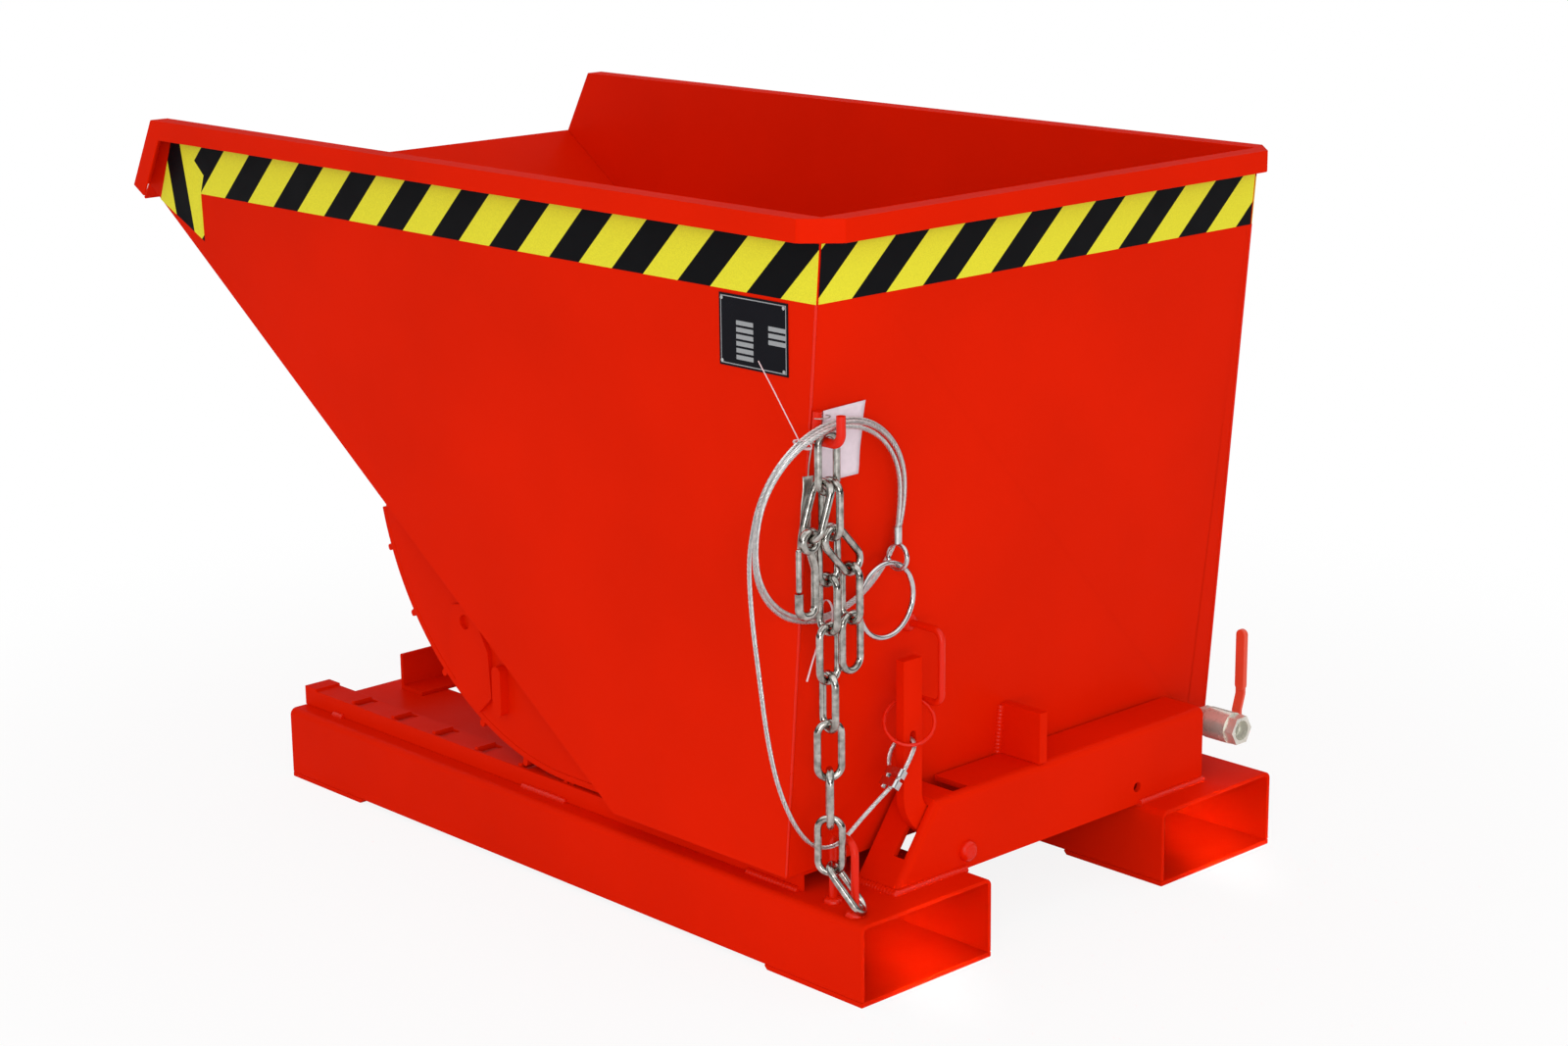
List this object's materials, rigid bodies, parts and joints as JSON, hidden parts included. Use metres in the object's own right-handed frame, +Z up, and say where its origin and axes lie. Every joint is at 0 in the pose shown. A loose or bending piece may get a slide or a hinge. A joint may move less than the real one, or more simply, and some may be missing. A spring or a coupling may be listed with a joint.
{
  "type": "tipping hopper",
  "caption": "Sheet-steel tipping hopper on two fork pockets that rolls forward on toothed rockers when its rear latch is pulled by a rope.",
  "frame": {"origin": "middle of the base between the fork pockets, on the floor", "axes": "+X to the rear where the forks enter, -X to the pouring lip, -Y to the chain, +Z up"},
  "size_m": [1.3043, 0.813, 0.833],
  "materials": {
    "red_paint": "gloss",
    "zinc": "galvanised",
    "wire_rope": "satin",
    "bright_steel": "polished",
    "nickel": "satin",
    "red_grip": "gloss",
    "hazard_tape": "satin",
    "black_plate": "satin",
    "seat_white": "matt"
  },
  "bodies": {
    "base": {"near_fork_pocket": "red_paint", "near_straps": "red_paint", "near_rack_rail": "red_paint", "far_fork_pocket": "red_paint", "far_straps": "red_paint", "far_rack_rail": "red_paint", "front_cross_angle": "red_paint", "rear_cross_channel": "red_paint", "latch_pivot_bolt": "red_paint", "latch_spring": "bright_steel", "chain_eye": "red_paint", "anchor_link": "zinc"},
    "latch": {"latch_lever": "red_paint", "rope_loop": "wire_rope", "rope_clips": "bright_steel"},
    "ring": {"securing_ring": "red_paint"},
    "carriage": {"roll_plug": "red_paint"},
    "hopper": {"near_side_wall": "red_paint", "near_rim": "red_paint", "near_corner_cap": "red_paint", "near_rocker_web": "red_paint", "near_rocker_tread": "red_paint", "near_rocker_teeth": "red_paint", "near_rocker_gusset": "red_paint", "near_hazard_band": "hazard_tape", "far_side_wall": "red_paint", "far_rim": "red_paint", "far_corner_cap": "red_paint", "far_rocker_web": "red_paint", "far_rocker_tread": "red_paint", "far_rocker_teeth": "red_paint", "far_rocker_gusset": "red_paint", "far_hazard_band": "hazard_tape", "rear_wall": "red_paint", "floor_front_plate": "red_paint", "front_lip": "red_paint", "rear_rim": "red_paint", "rear_hazard_band": "hazard_tape", "rest_lug": "red_paint", "latch_keeper": "red_paint", "stow_hook": "red_paint", "ring_staple": "red_paint", "type_plate": "black_plate", "plate_rivets": "bright_steel", "drain_nipple": "nickel", "valve_shell": "nickel", "valve_seats": "seat_white", "hook_links": "zinc", "chain_strand": "zinc", "spare_links": "zinc", "snap_hook": "zinc", "rope_coil": "wire_rope", "rope_fall": "wire_rope", "rope_end": "bright_steel", "pull_ring": "bright_steel"},
    "valve_lever": {"valve_ball": "nickel", "valve_handle": "red_grip", "valve_grip": "red_grip", "handle_nut": "nickel"},
    "gate": {"snap_gate": "zinc"}
  },
  "joints": [
    {"name": "hopper_roll", "type": "slide", "parent": "base", "child": "carriage", "axis": [-1, 0, 0], "range_m": [0, 0.4665]},
    {"name": "hopper_tip", "type": "hinge", "parent": "carriage", "child": "hopper", "pos_m": [0.01, 0, 0.4733], "axis": [0, -1, 0], "range_deg": [0, 75], "deforming": ["chain_strand", "rope_fall"]},
    {"name": "latch_pull", "type": "hinge", "parent": "base", "child": "latch", "pos_m": [0.464, -0.144, 0.113], "axis": [1, 0, 0], "range_deg": [0, 20], "stiffness_Nm_per_rad": 2, "springref_deg": -17.19, "deforming": ["rope_fall"]},
    {"name": "ring_lift", "type": "slide", "parent": "latch", "child": "ring", "axis": [0, 0, 1], "range_m": [0, 0.05]},
    {"name": "valve_turn", "type": "hinge", "parent": "hopper", "child": "valve_lever", "pos_m": [0.47249, 0.31, 0.147], "axis": [0, 1, 0], "range_deg": [0, 90]},
    {"name": "snap_gate", "type": "hinge", "parent": "hopper", "child": "gate", "pos_m": [0.474, -0.38646, 0.497], "axis": [1, 0, 0], "range_deg": [0, 20], "stiffness_Nm_per_rad": 0.05, "springref_deg": -11.46}
  ],
  "couplings": [
    {"joint": "hopper_roll", "follows": "hopper_tip", "m_per_rad": 0.356}
  ]
}
